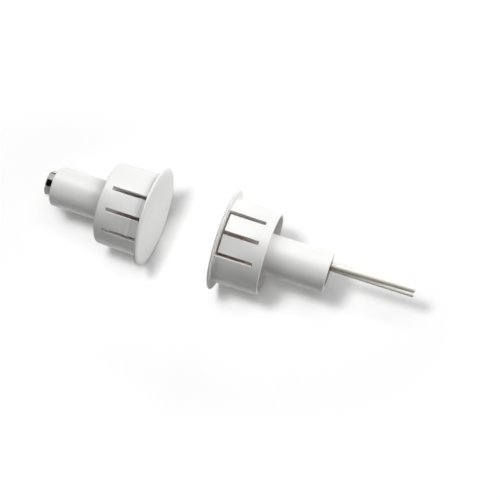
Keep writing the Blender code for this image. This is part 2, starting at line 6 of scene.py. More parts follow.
import bmesh
import bpy
from bpy.props import FloatProperty, FloatVectorProperty, IntProperty, PointerProperty
from mathutils import Matrix, Vector


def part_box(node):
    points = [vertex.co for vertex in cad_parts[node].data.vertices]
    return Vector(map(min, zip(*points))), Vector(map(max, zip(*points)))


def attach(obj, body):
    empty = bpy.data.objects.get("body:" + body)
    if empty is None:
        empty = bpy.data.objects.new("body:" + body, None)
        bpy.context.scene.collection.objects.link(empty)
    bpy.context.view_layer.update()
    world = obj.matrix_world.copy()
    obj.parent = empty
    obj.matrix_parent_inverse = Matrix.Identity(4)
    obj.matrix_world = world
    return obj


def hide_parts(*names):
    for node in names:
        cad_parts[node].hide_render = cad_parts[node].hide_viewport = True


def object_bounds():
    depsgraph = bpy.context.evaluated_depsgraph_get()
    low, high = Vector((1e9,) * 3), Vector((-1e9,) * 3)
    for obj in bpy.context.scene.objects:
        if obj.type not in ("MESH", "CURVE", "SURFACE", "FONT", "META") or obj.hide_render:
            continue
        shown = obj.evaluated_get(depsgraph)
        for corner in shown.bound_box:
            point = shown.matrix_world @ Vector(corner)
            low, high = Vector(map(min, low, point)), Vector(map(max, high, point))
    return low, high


bl_info = {
    "name": "Door Contact Switch Looks",
    "version": (1, 0, 0),
    "blender": (4, 5, 0),
    "location": "View3D > Sidebar > Door Contact",
    "description": "Builds the visible surfaces, materials and stage of a recessed door contact",
    "category": "Object",
}

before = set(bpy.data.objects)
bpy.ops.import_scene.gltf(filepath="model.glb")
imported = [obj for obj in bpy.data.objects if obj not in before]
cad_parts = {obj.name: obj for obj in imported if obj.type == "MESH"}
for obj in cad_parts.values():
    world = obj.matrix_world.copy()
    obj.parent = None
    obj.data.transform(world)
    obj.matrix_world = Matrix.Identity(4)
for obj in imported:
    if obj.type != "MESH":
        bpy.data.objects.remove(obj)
CAD_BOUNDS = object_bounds()

MM = 0.001
FULL_TURN = 2 * math.pi
SHARP_ANGLE = math.radians(30)
WELD_DISTANCE = 0.0005 * MM

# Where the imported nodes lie, which sets the sizes that the visible pieces share with them
ADAPTER_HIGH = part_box("switch_adapter")[1]
FACE_GAP = -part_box("magnet_adapter")[1].x
CAPSULE_LOW, CAPSULE_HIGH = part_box("switch_capsule")
MAGNET_CAPSULE_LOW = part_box("magnet_capsule")[0]
ROD_LOW, ROD_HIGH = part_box("rod_magnet")
RESIN_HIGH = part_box("potting")[1]

# The photograph's camera, found by fitting the round edges of both halves
CAMERA_PLACE = Vector((46.02, -96.55, 264.16)) * MM
CAMERA_RIGHT = Vector((0.94326, 0.33179, -0.01323))
CAMERA_UP = Vector((-0.30466, 0.88058, 0.36297))
CAMERA_LENS = 70.18
CAMERA_SENSOR = 36.0

# Route of the leads, as in the part: the line between them leaves the resin at LEAD_SIDE and LEAD_RISE,
# drifts aside and sags, and the pair turns about it. They lie LEAD_SPACING diameters apart.
LEAD_REACH = 24.6 * MM
LEAD_SIDE = 1.85 * MM
LEAD_RISE = 0.6 * MM
LEAD_DRIFT = 0.75 * MM
LEAD_SAG = 1.1 * MM
LEAD_BURIED = 6.45 * MM
LEAD_STATIONS = (0.0, 0.15, 0.32, 0.53, 0.76, 1.0)
LEAD_SPACING = 1.03
PAIR_ANGLE_INSIDE = math.radians(75)
PAIR_ANGLE_END = math.radians(35)
ROUTE_STEPS = 4


def srgb(code):
    """Linear red, green and blue of an sRGB hex colour."""
    channels = [int(code[place : place + 2], 16) / 255 for place in (1, 3, 5)]
    return [c / 12.92 if c <= 0.04045 else ((c + 0.055) / 1.055) ** 2.4 for c in channels]


def length(name, default, description):
    """A length for the panel."""
    return FloatProperty(name=name, description=description, default=default, unit="LENGTH")


def colour(name, code, description):
    """A colour for the panel, given as an sRGB hex code."""
    return FloatVectorProperty(name=name, description=description, default=srgb(code), subtype="COLOR")


class DoorContactSizes(bpy.types.PropertyGroup):
    """Sizes of the visible pieces."""

    body_radius: length("Body Radius", 12.7 * MM, "Outer radius of the slotted body at the flange")
    body_draft: length("Body Draft", 0.25 * MM, "How much the body's radius shrinks towards its open end")
    body_depth: length("Body Depth", ADAPTER_HIGH.x, "From the sensing face to the open end")
    body_wall: length("Body Wall", 1.2 * MM, "Thickness of the slotted wall")
    flange_radius: length("Flange Radius", ADAPTER_HIGH.z, "Outer radius of the flange")
    flange_thickness: length("Flange Thickness", 0.9 * MM, "Thickness of the flange and of the sensing face")
    slot_width: length("Slot Width", 1.2 * MM, "Width of the slots between the snap tongues")
    groove_width: length("Groove Width", 0.6 * MM, "Width of the groove that frees the tongues' ends")
    rear_band: length("Rear Band", 2.7 * MM, "Unslotted band at the open end that carries the tongues")
    barb_height: length("Barb Height", 0.35 * MM, "How far a barb stands out of its tongue")
    collar_depth: length("Collar Depth", 6.0 * MM, "Depth of the collar that holds the capsule")
    edge_break: length("Edge Break", 0.1 * MM, "Rounding that the mould leaves on slots and tongues")
    capsule_wall: length("Capsule Wall", 1.65 * MM, "Thickness of the capsule")
    lead_diameter: length("Lead Diameter", 1.5 * MM, "Outer diameter of a wire lead")
    strand_diameter: length("Strand Diameter", 0.2 * MM, "Diameter of one strand of a lead's core")
    tab_groups: IntProperty(
        name="Tab Groups",
        description="Groups of two snap tongues round the body",
        default=2,
        min=1,
        max=4,
    )


class DoorContactColours(bpy.types.PropertyGroup):
    """Base colours of the finishes."""

    abs_white: colour("ABS White", "#EBEBE9", "Moulded white of adapters and capsules")
    # Recess Brown is painted shade: a darker base colour for the plastic deep in the hollow behind a flange
    recess_brown: colour("Recess Brown", "#D4C8C0", "The same plastic deep in the hollow behind a flange")
    pvc_cream: colour("PVC Cream", "#F3F0E6", "Insulation of the leads")
    nickel: colour("Nickel", "#D8D5CF", "Bright plating of the rod magnet")
    resin_brown: colour("Resin Brown", "#4A382B", "Potting resin in the switch capsule")
    floor_white: colour("Floor White", "#FFFFFF", "Paper sweep under the halves")


def sizes():
    """The sizes in the panel."""
    return bpy.context.scene.door_contact_sizes


def colours():
    """The colours in the panel."""
    return bpy.context.scene.door_contact_colours


# Piece and mesh helpers


def add_piece(name, data, body, finish, node=None):
    """A finished piece in place, riding on its body. It is shown instead of its CAD node, if it has one."""
    piece = bpy.data.objects.new(name, data)
    bpy.context.scene.collection.objects.link(piece)
    data.materials.clear()
    data.materials.append(finish)
    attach(piece, body)
    if node:
        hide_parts(node)
    return piece


def finished_mesh(bm, name):
    """Welds a bmesh, turns its faces outwards and shades it smooth between sharp edges."""
    bmesh.ops.remove_doubles(bm, verts=bm.verts, dist=WELD_DISTANCE)
    bmesh.ops.recalc_face_normals(bm, faces=bm.faces)
    mesh = bpy.data.meshes.new(name)
    bm.to_mesh(mesh)
    bm.free()
    mesh.shade_smooth()
    mesh.set_sharp_from_angle(angle=SHARP_ANGLE)
    return mesh


def arc(centre_x, centre_r, radius, start_deg, end_deg, steps):
    """Points (x, r) on an arc of a turned profile."""
    points = []
    for step in range(steps + 1):
        angle = math.radians(start_deg + (end_deg - start_deg) * step / steps)
        points.append((centre_x + radius * math.cos(angle), centre_r + radius * math.sin(angle)))
    return points


def on_circle(x, radius, angle):
    """A point at an angle about X, measured from +Z towards -Y."""
    return Vector((x, -radius * math.sin(angle), radius * math.cos(angle)))


def magnet_side():
    """Turns a piece from a half's own frame to the magnet half's place."""
    return Matrix.Translation((-FACE_GAP, 0, 0)) @ Matrix.Rotation(math.pi, 4, "Z")


# Node helpers

# A Mix node's sockets for colour, whose names its other types share
MIX_A = 6
MIX_B = 7
MIX_RESULT = 2

# Inputs of a Map Range node, in the order in which their values are given below
SPAN = ("From Min", "From Max", "To Min", "To Max")


def add_node(tree, kind, inputs=None, **settings):
    """Adds a node. Inputs are values, sockets, or nodes, which are linked by their first output. Settings
    are the node's own properties."""
    node = tree.nodes.new(kind)
    for name, value in settings.items():
        setattr(node, name, value)
    for key, value in (inputs or {}).items():
        if isinstance(value, bpy.types.Node):
            value = value.outputs[0]
        if isinstance(value, bpy.types.NodeSocket):
            tree.links.new(value, node.inputs[key])
        else:
            node.inputs[key].default_value = value
    return node


def emptied(blocks, name):
    """The material or world of a name, new or used before, with an empty node tree. Returns both."""
    made = blocks.get(name) or blocks.new(name)
    made.use_nodes = True
    made.node_tree.nodes.clear()
    return made, made.node_tree


def new_material(name, base_color, roughness, ior=None, metallic=0.0):
    """A material with its Principled shader set to one finish. Returns it with its tree and shader."""
    made, tree = emptied(bpy.data.materials, name)
    finish = {"Base Color": (*base_color, 1), "Roughness": roughness, "Metallic": metallic}
    if ior:
        finish["IOR"] = ior
    shader = add_node(tree, "ShaderNodeBsdfPrincipled", finish)
    add_node(tree, "ShaderNodeOutputMaterial", {"Surface": shader})
    return made, tree, shader


def new_form(name, inputs):
    """An empty Geometry Nodes tree with a Geometry input and named ones after it, given as
    (name, kind, default). Returns the tree and the sockets that its inputs come in by."""
    tree = bpy.data.node_groups.new(name, "GeometryNodeTree")
    tree.interface.new_socket("Geometry", in_out="INPUT", socket_type="NodeSocketGeometry")
    tree.interface.new_socket("Geometry", in_out="OUTPUT", socket_type="NodeSocketGeometry")
    for label, kind, default in inputs:
        socket = tree.interface.new_socket(label, in_out="INPUT", socket_type=f"NodeSocket{kind}")
        if default is not None:
            socket.default_value = default
    return tree, add_node(tree, "NodeGroupInput").outputs


def end_form(tree, geometry, given):
    """Ends a tree in plain geometry that carries the Material input."""
    plain = add_node(tree, "GeometryNodeRealizeInstances", {"Geometry": geometry})
    look = {"Geometry": plain, "Material": given["Material"]}
    painted = add_node(tree, "GeometryNodeSetMaterial", look)
    add_node(tree, "NodeGroupOutput", {"Geometry": painted})


def shared_form(make):
    """The Geometry Nodes tree that make names after itself. It is made at the first call."""
    return bpy.data.node_groups.get(make.__name__) or make()


def grown_mesh(name, form, guide, values, place=None):
    """The mesh that a tree grows on guide, a list of points joined in a line, as a plain mesh."""
    line = bpy.data.meshes.new(f"{name}_guide")
    line.from_pydata(guide, [(i, i + 1) for i in range(len(guide) - 1)], [])
    holder = bpy.data.objects.new(line.name, line)
    bpy.context.scene.collection.objects.link(holder)
    modifier = holder.modifiers.new(form.name, "NODES")
    modifier.node_group = form
    for socket in form.interface.items_tree:
        if socket.name in values:
            modifier[socket.identifier] = values[socket.name]
    evaluated = holder.evaluated_get(bpy.context.evaluated_depsgraph_get())
    grown = bpy.data.meshes.new_from_object(evaluated)
    bpy.data.objects.remove(holder)
    bm = bmesh.new()
    bm.from_mesh(grown)
    for used in (line, grown):
        bpy.data.meshes.remove(used)
    if not bm.faces:
        raise RuntimeError(f"{form.name} made no faces for {name}")
    if place:
        bm.transform(place)
    return finished_mesh(bm, name)


# Materials

# How far the painted recess shade stays full behind the flange, how far before the open end it is gone, and
# how
# # much of the wall it fades out in
RECESS_SHADE_FULL = 6 * MM
RECESS_SHADE_END = 1 * MM
RECESS_SHADE_FADE = 0.5 * MM

# Cosine of the angle within which a strand's face counts as its cut end, which looks along +X
CUT_FACE = 0.85


def add_pattern(tree, shader, size, detail, axes=None, roughness=None, relief=None, tones=None):
    """Noise in the piece's own space with waves of a size, drawn out along the axes that have less than 1.
    It gives the shader what is asked for: roughness, with four values for SPAN; relief, as strength and
    depth, over the relief that is there; and tones, as two pairs of noise and colour code."""
    place = add_node(tree, "ShaderNodeTexCoord").outputs["Object"]
    if axes:
        place = add_node(tree, "ShaderNodeMapping", {"Vector": place, "Scale": axes})
    noise = add_node(tree, "ShaderNodeTexNoise", {"Vector": place, "Scale": 1 / size, "Detail": detail})
    if roughness:
        spread = add_node(tree, "ShaderNodeMapRange", {"Value": noise, **dict(zip(SPAN, roughness))})
        tree.links.new(spread.outputs["Result"], shader.inputs["Roughness"])
    if relief:
        strength, depth = relief
        bump = add_node(tree, "ShaderNodeBump", {"Height": noise, "Strength": strength, "Distance": depth})
        normal = shader.inputs["Normal"]
        if normal.is_linked:
            tree.links.new(normal.links[0].from_socket, bump.inputs["Normal"])
        tree.links.new(bump.outputs["Normal"], normal)
    if tones:
        ramp = add_node(tree, "ShaderNodeValToRGB", {"Fac": noise})
        for element, (share, code) in zip(ramp.color_ramp.elements, tones):
            element.position = share
            element.color = (*srgb(code), 1)
        tree.links.new(ramp.outputs["Color"], shader.inputs["Base Color"])


def add_recess_tone(tree, shader):
    """Painted shade: the plastic deep in the hollow behind a flange gets a darker, warm grey brown base
    colour where shade falls there, full at the flange and gone at the open end. Both halves mirror about the
    gap."""
    size = sizes()
    face = FACE_GAP / 2
    bore = size.body_radius - size.body_wall
    place = add_node(tree, "ShaderNodeTexCoord").outputs["Object"]
    at = add_node(tree, "ShaderNodeSeparateXYZ", {"Vector": place}).outputs
    from_gap = add_node(tree, "ShaderNodeMath", {0: at["X"], 1: face}, operation="ADD")
    depth = add_node(tree, "ShaderNodeMath", {0: from_gap}, operation="ABSOLUTE")
    across = add_node(tree, "ShaderNodeCombineXYZ", {"Y": at["Y"], "Z": at["Z"]})
    radius = add_node(tree, "ShaderNodeVectorMath", {0: across}, operation="LENGTH").outputs["Value"]
    back_of_face = face + size.flange_thickness / 2
    share = add_node(tree, "ShaderNodeMath", {0: depth, 1: back_of_face}, operation="GREATER_THAN")
    spans = (
        (depth, face + size.flange_thickness + RECESS_SHADE_FULL, face + size.body_depth - RECESS_SHADE_END),
        (radius, bore, bore + RECESS_SHADE_FADE),
    )
    for distance, full, gone in spans:
        values = {"Value": distance, **dict(zip(SPAN, (full, gone, 1.0, 0.0)))}
        span = add_node(tree, "ShaderNodeMapRange", values)
        share = add_node(tree, "ShaderNodeMath", {0: share, 1: span}, operation="MULTIPLY")
    tones = {MIX_A: (*colours().abs_white, 1), MIX_B: (*colours().recess_brown, 1)}
    tone = add_node(tree, "ShaderNodeMix", {"Factor": share, **tones}, data_type="RGBA")
    tree.links.new(tone.outputs[MIX_RESULT], shader.inputs["Base Color"])


def moulded_abs_white():
    """Injection moulded ABS: a satin skin with the tool's fine spark grain and a faint flow unevenness.
    The grain is 0.125 mm, drawn coarser than the real 0.05 mm so that it shows."""
    made, tree, shader = new_material("moulded_abs_white", colours().abs_white, roughness=0.36, ior=1.54)
    # Painted shade: a darker base colour deep in the hollow behind the flange
    add_recess_tone(tree, shader)
    add_pattern(tree, shader, size=0.125 * MM, detail=2, relief=(0.1, 0.01 * MM))
    uneven = (0.3, 0.7, 0.33, 0.41)
    add_pattern(tree, shader, size=4.55 * MM, detail=3, roughness=uneven, relief=(0.15, 0.05 * MM))
    return made


def extruded_pvc_cream():
    """Extruded PVC wire cover: soft satin, with long faint die lines and slight unevenness."""
    made, tree, shader = new_material("extruded_pvc_cream", colours().pvc_cream, roughness=0.42, ior=1.53)
    add_pattern(tree, shader, size=0.2 * MM, detail=2, axes=(0.06, 1, 1), relief=(0.25, 0.02 * MM))
    return made


def bright_nickel_plate():
    """Bright nickel on a ground rod: mirror finish with fine rings from grinding and a few dull spots."""
    made, tree, shader = new_material("bright_nickel_plate", colours().nickel, roughness=0.12, metallic=1.0)
    add_pattern(tree, shader, size=0.111 * MM, detail=3, axes=(1, 0.04, 0.04), relief=(0.12, 0.01 * MM))
    add_pattern(tree, shader, size=1.11 * MM, detail=4, roughness=(0.45, 0.75, 0.07, 0.24))
    return made


def cast_potting_resin():
    """Cast potting resin: dark brown and glossy, slightly cloudy, with the skin of a poured surface."""
    made, tree, shader = new_material("cast_potting_resin", colours().resin_brown, roughness=0.22, ior=1.52)
    cloud = ((0, "#3B2B20"), (1, "#5C4837"))
    add_pattern(tree, shader, size=2 * MM, detail=3, relief=(0.2, 0.05 * MM), tones=cloud)
    return made


def drawn_metal(name, code, roughness, line_spacing):
    """Drawn wire or strip: bright metal with fine lines along X, line_spacing apart, left by the die."""
    made, tree, shader = new_material(name, srgb(code), roughness, metallic=1.0)
    uneven = (0.3, 0.7, roughness - 0.06, roughness + 0.08)
    depth = 0.01 * MM
    along = (0.05, 1, 1)
    add_pattern(tree, shader, line_spacing, detail=2, axes=along, roughness=uneven, relief=(0.2, depth))
    return made


def tinned_copper_strand():
    """Tinned copper strand: silvery, with copper showing through where the tin is thin, and bare on the
    cut faces, which look along +X."""
    made = drawn_metal("tinned_copper_strand", "#CFC5BC", roughness=0.3, line_spacing=0.04 * MM)
    tree = made.node_tree
    shader = tree.nodes["Principled BSDF"]
    add_pattern(tree, shader, size=0.833 * MM, detail=3, tones=((0.35, "#D2CCC6"), (0.75, "#C79B7F")))
    tinned = shader.inputs["Base Color"].links[0].from_socket
    normal = add_node(tree, "ShaderNodeNewGeometry").outputs["True Normal"]
    along = add_node(tree, "ShaderNodeSeparateXYZ", {"Vector": normal})
    cut = add_node(tree, "ShaderNodeMath", {0: along, 1: CUT_FACE}, operation="GREATER_THAN")
    tones = {MIX_A: tinned, MIX_B: (*srgb("#B9714C"), 1)}
    shown = add_node(tree, "ShaderNodeMix", {"Factor": cut, **tones}, data_type="RGBA")
    tree.links.new(shown.outputs[MIX_RESULT], shader.inputs["Base Color"])
    return made


def drawn_soda_glass():
    """Drawn soda glass of the reed switch: clear with a faint green cast and long shallow draw lines."""
    made, tree, shader = new_material("drawn_soda_glass", srgb("#F0F7F2"), roughness=0.03, ior=1.52)
    shader.inputs["Transmission Weight"].default_value = 1.0
    add_pattern(tree, shader, size=0.5 * MM, detail=1, axes=(0.05, 1, 1), relief=(0.1, 0.02 * MM))
    return made


def soft_sleeve_pvc():
    """Soft PVC sleeving: near black, satin, with the slightly wavy skin of a thin extruded tube."""
    made, tree, shader = new_material("soft_sleeve_pvc", srgb("#2A2A2C"), roughness=0.45, ior=1.53)
    uneven = ((0, "#252527"), (1, "#333335"))
    add_pattern(tree, shader, size=0.667 * MM, detail=2, relief=(0.2, 0.03 * MM), tones=uneven)
    return made


# Adapter


class AdapterForm:
    """The moulded adapter in its half's own frame: sensing face at x = 0, all else behind it."""

    SLOT_PITCH = math.radians(30)
    STEP = math.radians(2.5)
    ROOT_STEPS = 5

    # The face falls away by FLANGE_ROUNDING over the last FLANGE_ROLL_OFF of its radius
    FLANGE_ROUNDING = 0.7 * MM
    FLANGE_ROLL_OFF = 2.0 * MM
    BACK_ROUNDING = 0.15 * MM
    RIM_ROUNDING = 0.4 * MM
    MOUTH_ROUNDING = 0.2 * MM

    # How far behind the flange the groove starts, the tongues begin to turn round, and the locking faces
    # of the two barbs stand. The group of tongues SMOOTH_GROUP has none.
    GROOVE_FOOT = 0.1 * MM
    FLAT_REACH = 3.2 * MM
    NEAR_BARB = 1.35 * MM
    FAR_BARB = 2.95 * MM
    SMOOTH_GROUP = 0

    # A barb rises over BARB_FACE, slopes down to a height of BARB_TAIL, and drops over BARB_FACE again
    BARB_LENGTH = 1.35 * MM
    BARB_FACE = 0.2 * MM
    BARB_TAIL = 0.15 * MM

    COLLAR_WALL = 1.0 * MM
    COLLAR_CLEARANCE = 0.3 * MM
    COLLAR_ROUNDING = 0.25 * MM

    # Rounding errors of a place in metres and of an angle
    SAME_PLACE = 1e-9
    SAME_ANGLE = 1e-6

    def __init__(self):
        size = sizes()
        self.size = size
        self.bore = size.body_radius - size.body_wall
        self.collar_bore = CAPSULE_HIGH.z + self.COLLAR_CLEARANCE
        self.collar = self.collar_bore + self.COLLAR_WALL
        self.collar_end = size.flange_thickness + size.collar_depth
        self.groove_start = size.flange_thickness + self.GROOVE_FOOT
        self.tongue_end = self.groove_start + size.groove_width
        self.tongue_root = size.body_depth - size.rear_band
        self.half_slot = size.slot_width / size.body_radius / 2

    def body_radius(self, x):
        """Outer radius of the tapered body."""
        size = self.size
        share = (x - size.flange_thickness) / (size.body_depth - size.flange_thickness)
        return size.body_radius - size.body_draft * share

    def group_angle(self, group):
        """Where the middle slot of a group of tongues lies round the body."""
        return group * FULL_TURN / self.size.tab_groups

    def barb_outline(self, lock):
        """A barb along the body as (x, height): steep locking face, long ramp, low step at its tail."""
        return [
            (lock, 0.0),
            (lock + self.BARB_FACE, self.size.barb_height),
            (lock + self.BARB_LENGTH - self.BARB_FACE, self.BARB_TAIL),
            (lock + self.BARB_LENGTH, 0.0),
        ]

    def barb_lift(self, x, lock):
        """Height of the barb whose locking face starts at lock."""
        outline = self.barb_outline(lock)
        for (start, low), (end, high) in zip(outline, outline[1:]):
            if start < x <= end:
                return low + (high - low) * (x - start) / (end - start)
        return 0.0

    def tongue_radius(self, x, angle):
        """Outside radius: round at the root, flat across towards the free end, with its barb."""
        plain = self.body_radius(x)
        if x > self.tongue_root + self.SAME_PLACE:
            return plain
        for group in range(self.size.tab_groups):
            offset = math.remainder(angle - self.group_angle(group), FULL_TURN)
            if not self.SAME_ANGLE <= abs(offset) < self.SLOT_PITCH - self.SAME_ANGLE:
                continue
            middle = math.copysign(self.SLOT_PITCH / 2, offset)
            chord = plain * math.cos(self.SLOT_PITCH / 2) / math.cos(offset - middle)
            flat_start = self.size.flange_thickness + self.FLAT_REACH
            flatness = min(1.0, (self.tongue_root - x) / (self.tongue_root - flat_start))
            lift = 0.0
            if group != self.SMOOTH_GROUP:
                lock = self.NEAR_BARB if offset > 0 else self.FAR_BARB
                lift = self.barb_lift(x, self.size.flange_thickness + lock)
            return plain + (chord - plain) * flatness + lift
        return plain

    def wall_stations(self):
        """Places along the body that its surface needs: groove, barbs, tongue roots, even steps."""
        size = self.size
        places = {size.flange_thickness, self.groove_start, self.tongue_end, self.tongue_root}
        for lock in (self.NEAR_BARB, self.FAR_BARB):
            places |= {x for x, _ in self.barb_outline(size.flange_thickness + lock)}
        low = size.flange_thickness + self.FAR_BARB + self.BARB_LENGTH
        steps = self.ROOT_STEPS
        places |= {low + (self.tongue_root - low) * step / steps for step in range(1, steps)}
        return sorted(places)

    def angles(self):
        """Stations round the body: every slot edge, and even steps between them."""
        fixed = []
        for group in range(self.size.tab_groups):
            for slot in (-1, 0, 1):
                centre = self.group_angle(group) + slot * self.SLOT_PITCH
                fixed += [centre - self.half_slot, centre + self.half_slot]
        fixed = sorted(angle % FULL_TURN for angle in fixed)
        stations = []
        for start, end in zip(fixed, [*fixed[1:], fixed[0] + FULL_TURN]):
            steps = max(2, math.ceil((end - start) / self.STEP))
            stations += [start + (end - start) * step / steps for step in range(steps)]
        return stations

    def is_cut(self, angle, x):
        """Whether the middle of a wall cell lies in a slot or in the groove behind the flange."""
        if x > self.tongue_root or x < self.groove_start:
            return False
        for group in range(self.size.tab_groups):
            offset = math.remainder(angle - self.group_angle(group), FULL_TURN)
            if abs(offset) > self.SLOT_PITCH + self.half_slot:
                continue
            if x < self.tongue_end:
                return True
            slot = round(offset / self.SLOT_PITCH) * self.SLOT_PITCH
            if abs(offset - slot) < self.half_slot:
                return True
        return False

    def rings(self):
        """The turned outline as (kind, x, radius), from the face to the collar. The slotted wall is outer
        and inner, and its outer radius is left to tongue_radius."""
        size = self.size
        stations = self.wall_stations()
        rear = size.body_depth
        rim = self.body_radius(rear)
        rounding = self.FLANGE_ROUNDING
        steepness = self.FLANGE_ROLL_OFF / rounding
        roll_off_start = size.flange_radius - self.FLANGE_ROLL_OFF
        face = [(x, roll_off_start + r * steepness) for x, r in arc(rounding, 0, rounding, 180, 90, 8)]
        edge = self.BACK_ROUNDING
        back = arc(size.flange_thickness - edge, size.flange_radius - edge, edge, 90, 0, 3)
        edge = self.RIM_ROUNDING
        lip = arc(rear - edge, rim - edge, edge, 90, 0, 5)
        edge = self.MOUTH_ROUNDING
        mouth = arc(rear - edge, self.bore + edge, edge, 0, -90, 3)
        edge = self.COLLAR_ROUNDING
        collar = [
            (size.flange_thickness, self.collar),
            *arc(self.collar_end - edge, self.collar - edge, edge, 90, 0, 3),
            (self.collar_end, self.collar_bore),
            (size.flange_thickness, self.collar_bore),
        ]
        return [
            *(("plain", x, r) for x, r in (*face, *back)),
            *(("outer", x, None) for x in stations),
            *(("plain", x, r) for x, r in (*lip, *mouth)),
            *(("inner", x, self.bore) for x in reversed(stations)),
            *(("plain", x, r) for x, r in collar),
        ]

    def cut_cells(self, stations, angles):
        """Cells of the slotted wall that its slots and groove leave open, as (place along, place round)."""
        steps = len(angles)
        widths = [(angles[(i + 1) % steps] - angles[i]) % FULL_TURN for i in range(steps)]
        middles = [angle + width / 2 for angle, width in zip(angles, widths)]
        return {
            (i, j)
            for i, (low, high) in enumerate(zip(stations, stations[1:]))
            for j in range(steps)
            if self.is_cut(middles[j], (low + high) / 2)
        }

    def mesh(self, name, roll, place=None):
        """The adapter rolled about its axis: a turned skin, left open at its slots, with walls round them."""
        bm = bmesh.new()
        angles = self.angles()
        steps = len(angles)
        profile = self.rings()
        rows = []
        for kind, x, radius in profile:
            ring = []
            for angle in angles:
                reach = self.tongue_radius(x, angle) if kind == "outer" else radius
                ring.append(bm.verts.new(on_circle(x, reach, angle + roll)))
            rows.append(ring)
        stations = self.wall_stations()
        outer = [profile.index(("outer", x, None)) for x in stations]
        inner = [profile.index(("inner", x, self.bore)) for x in stations]
        cut = self.cut_cells(stations, angles)
        left_open = {(outer[i], j) for i, j in cut} | {(inner[i + 1], j) for i, j in cut}
        for row in range(len(rows) - 1):
            for j in range(steps):
                if (row, j) not in left_open:
                    other = (j + 1) % steps
                    bm.faces.new((rows[row][j], rows[row][other], rows[row + 1][other], rows[row + 1][j]))
        for start, end in self.slot_edges(cut, steps):
            corners = ((outer, start), (outer, end), (inner, end), (inner, start))
            bm.faces.new([rows[skin[i]][j % steps] for skin, (i, j) in corners])
        bm.faces.new(rows[0])
        bm.faces.new(rows[-1])
        if place:
            bm.transform(place)
        return finished_mesh(bm, name)

    def slot_edges(self, cut, steps):
        """Both ends of every edge between a cut cell and a kept one, as (place along, place round)."""
        for i, j in cut:
            sides = (
                ((i - 1, j), (i, j), (i, j + 1)),
                ((i + 1, j), (i + 1, j), (i + 1, j + 1)),
                ((i, (j - 1) % steps), (i, j), (i + 1, j)),
                ((i, (j + 1) % steps), (i, j + 1), (i + 1, j + 1)),
            )
            for neighbour, start, end in sides:
                if neighbour not in cut:
                    yield start, end


# Turn of each moulding about its axis, from the slots that the photograph shows: of the switch half's first
# group of tongues, and of the magnet half's second
SWITCH_ROLL = math.radians(11)
MAGNET_ROLL = math.radians(-30)

# Edges that turn by more than this are rounded
BEVEL_ANGLE = math.radians(40)


def round_edges(piece, width):
    """Rounds the edges of a moulding as its tool does."""
    bevel = piece.modifiers.new("mould_edges", "BEVEL")
    bevel.width = width
    bevel.segments = 2
    bevel.limit_method = "ANGLE"
    bevel.angle_limit = BEVEL_ANGLE
    bevel.harden_normals = True
    bevel.use_clamp_overlap = True


class DOORCONTACT_OT_adapters(bpy.types.Operator):
    """Make both snap-in adapters with their slots, flat tongues and barbs"""

    bl_idname = "door_contact.adapters"
    bl_label = "Adapters"

    def execute(self, context):
        finish = moulded_abs_white()
        form = AdapterForm()
        halves = (
            ("switch", SWITCH_ROLL, None),
            ("magnet", MAGNET_ROLL - form.group_angle(1), magnet_side()),
        )
        for half, roll, place in halves:
            mesh = form.mesh(f"{half}_adapter_moulding", roll, place)
            piece = add_piece(mesh.name, mesh, f"{half}_half", finish, f"{half}_adapter")
            round_edges(piece, sizes().edge_break)
        return {"FINISHED"}


# Capsules and magnet

TURNED_STEPS = 128
FILLET_STEPS = 5
CAPSULE_ROUNDING = 0.22 * MM
CAPSULE_FLOOR = 0.8 * MM
ROD_ROUNDING = 0.4 * MM


def turned_form():
    """Geometry Nodes for a turned piece: the guide is its half section in X and Z. Its corners are rounded
    by Edge Rounding, then every point of it is copied round X in Steps steps and skinned as a grid."""
    tree, given = new_form(
        "turned_form",
        (
            ("Edge Rounding", "Float", CAPSULE_ROUNDING),
            ("Steps", "Int", TURNED_STEPS),
            ("Material", "Material", None),
        ),
    )
    section = add_node(tree, "GeometryNodeMeshToCurve", {"Mesh": given["Geometry"]})
    fillet = {"Count": FILLET_STEPS, "Radius": given["Edge Rounding"], "Limit Radius": True}
    rounded = add_node(tree, "GeometryNodeFilletCurve", {"Curve": section, **fillet}, mode="POLY")
    points = add_node(tree, "GeometryNodeCurveToPoints", {"Curve": rounded}, mode="EVALUATED")
    count = add_node(
        tree, "GeometryNodeAttributeDomainSize", {"Geometry": points}, component="POINTCLOUD"
    )
    columns = add_node(tree, "ShaderNodeMath", {0: given["Steps"], 1: 1.0}, operation="ADD")
    grid = add_node(tree, "GeometryNodeMeshGrid", {"Vertices X": count, "Vertices Y": columns})
    index = add_node(tree, "GeometryNodeInputIndex")
    share = add_node(tree, "ShaderNodeMath", {0: index, 1: columns}, operation="DIVIDE")
    row = add_node(tree, "ShaderNodeMath", {0: share}, operation="FLOOR")
    column = add_node(tree, "ShaderNodeMath", {0: index, 1: columns}, operation="MODULO")
    position = add_node(tree, "GeometryNodeInputPosition")
    sample = {"Geometry": points, "Value": position, "Index": row}
    corner = add_node(tree, "GeometryNodeSampleIndex", sample, data_type="FLOAT_VECTOR")
    pitch = add_node(tree, "ShaderNodeMath", {0: FULL_TURN, 1: given["Steps"]}, operation="DIVIDE")
    angle = add_node(tree, "ShaderNodeMath", {0: column, 1: pitch}, operation="MULTIPLY")
    turn = {"Vector": corner, "Angle": angle}
    turned = add_node(tree, "ShaderNodeVectorRotate", turn, rotation_type="X_AXIS")
    skin = add_node(tree, "GeometryNodeSetPosition", {"Geometry": grid, "Position": turned})
    closed = add_node(
        tree, "GeometryNodeMergeByDistance", {"Geometry": skin, "Distance": WELD_DISTANCE}
    )
    end_form(tree, closed, given)
    return tree


